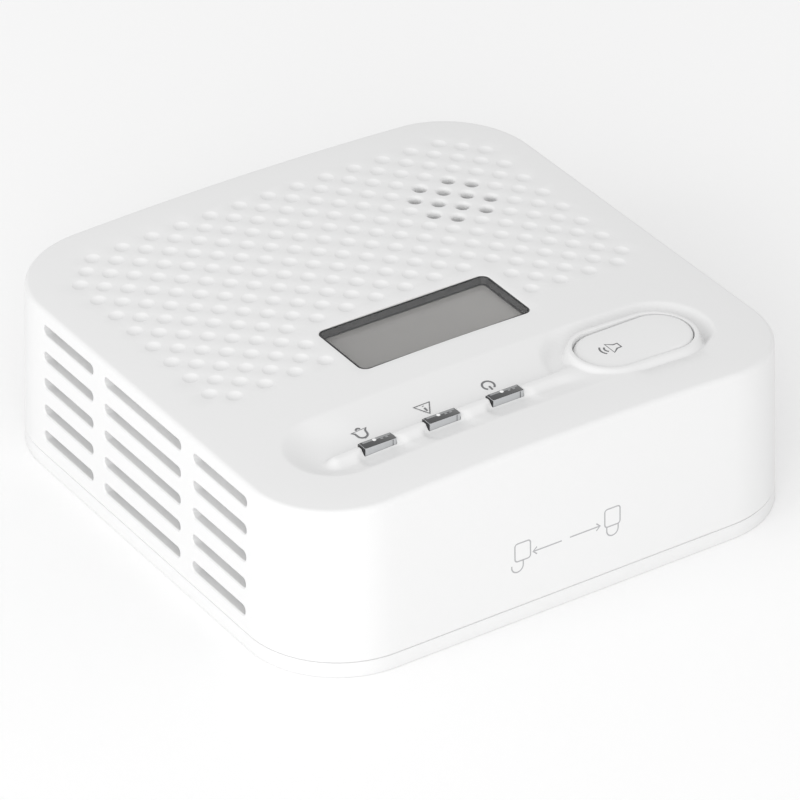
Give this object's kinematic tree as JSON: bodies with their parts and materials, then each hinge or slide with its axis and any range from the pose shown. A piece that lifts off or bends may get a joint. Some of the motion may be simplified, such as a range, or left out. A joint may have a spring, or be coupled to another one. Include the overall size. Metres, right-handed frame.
{
  "type": "carbon monoxide detector",
  "caption": "Square wall-hung carbon monoxide alarm with a dimpled crowned face, display window, indicator trough, test button and slide-off mounting plate.",
  "frame": {"origin": "middle of the mounting plate's back face, where it lies on the wall or on a shelf", "axes": "+Z out of the face, +Y towards the top edge of the face, +X towards the right of a reader facing it"},
  "size_m": [0.12, 0.12, 0.0388],
  "materials": {
    "casing_white": "fine-textured moulded ABS, satin matte",
    "plate_white": "fine-textured moulded ABS, satin matte",
    "rear_white": "moulded ABS",
    "door_white": "moulded ABS",
    "button_white": "smooth moulded ABS",
    "baffle_white": "moulded ABS",
    "window_clear": "polished clear acrylic",
    "pipe_clear": "smoky clear polycarbonate",
    "display_black": "black ABS",
    "display_glass": "reflective liquid crystal cell, off",
    "frame_white": "moulded ABS",
    "strip_rubber": "layered conductive silicone",
    "led_clear": "clear epoxy",
    "board_green": "solder mask on glass laminate",
    "switch_black": "black nylon",
    "plunger_black": "black nylon",
    "horn_black": "black ABS",
    "disc_brass": "rolled brass with a ceramic face",
    "mesh_steel": "woven steel gauze",
    "sensor_can": "drawn steel can",
    "sensor_cap": "black filter cap",
    "chip_black": "moulded epoxy",
    "coil_dark": "ferrite with copper winding",
    "capacitor_sleeve": "heat-shrunk sleeve",
    "screw_zinc": "zinc-plated steel",
    "contact_nickel": "nickel-plated spring steel",
    "cell_sleeve": "printed metal foil sleeve",
    "lead_sleeve": "insulated hook-up wire"
  },
  "bodies": {
    "plate": {"mounting_plate": "plate_white"},
    "detector": {"front_casing": "casing_white", "rear_casing": "rear_white", "case_screws": "screw_zinc", "board_screws": "screw_zinc", "tact_switch": "switch_black", "lcd_window": "window_clear", "lcd_bezel": "display_black", "lcd_glass": "display_glass", "lcd_frame": "frame_white", "zebra_strip": "strip_rubber", "light_pipe_power": "pipe_clear", "light_pipe_fault": "pipe_clear", "light_pipe_alarm": "pipe_clear", "led_power": "led_clear", "led_fault": "led_clear", "led_alarm": "led_clear", "circuit_board": "board_green", "co_sensor": "sensor_can", "co_sensor_cap": "sensor_cap", "microcontroller": "chip_black", "booster_coil": "coil_dark", "capacitor": "capacitor_sleeve", "horn_housing": "horn_black", "piezo_disc": "disc_brass", "dust_mesh": "mesh_steel", "battery_leads": "lead_sleeve", "piezo_leads": "lead_sleeve", "aa_cell_1": "cell_sleeve", "aa_cell_2": "cell_sleeve", "aa_cell_3": "cell_sleeve", "battery_contacts": "contact_nickel", "battery_springs": "contact_nickel", "side_baffle_left": "baffle_white", "side_baffle_right": "baffle_white"},
    "test_button": {"test_button": "button_white"},
    "switch_plunger": {"switch_plunger": "plunger_black"},
    "battery_door": {"battery_door": "door_white"}
  },
  "joints": [
    {"name": "unlock_slide", "type": "slide", "parent": "plate", "child": "detector", "axis": [1, 0, 0], "range_m": [0, 0.008]},
    {"name": "test_press", "type": "slide", "parent": "detector", "child": "test_button", "axis": [0, 0, -1], "range_m": [0, 0.0006], "stiffness_N_per_m": 3000},
    {"name": "plunger_press", "type": "slide", "parent": "detector", "child": "switch_plunger", "axis": [0, 0, -1], "range_m": [0, 0.0006]},
    {"name": "door_hinge", "type": "hinge", "parent": "detector", "child": "battery_door", "pos_m": [0, 0.0206, 0.00485], "axis": [1, 0, 0], "range_deg": [0, 90]}
  ],
  "couplings": [
    {"joint": "plunger_press", "follows": "test_press", "ratio": 1}
  ]
}
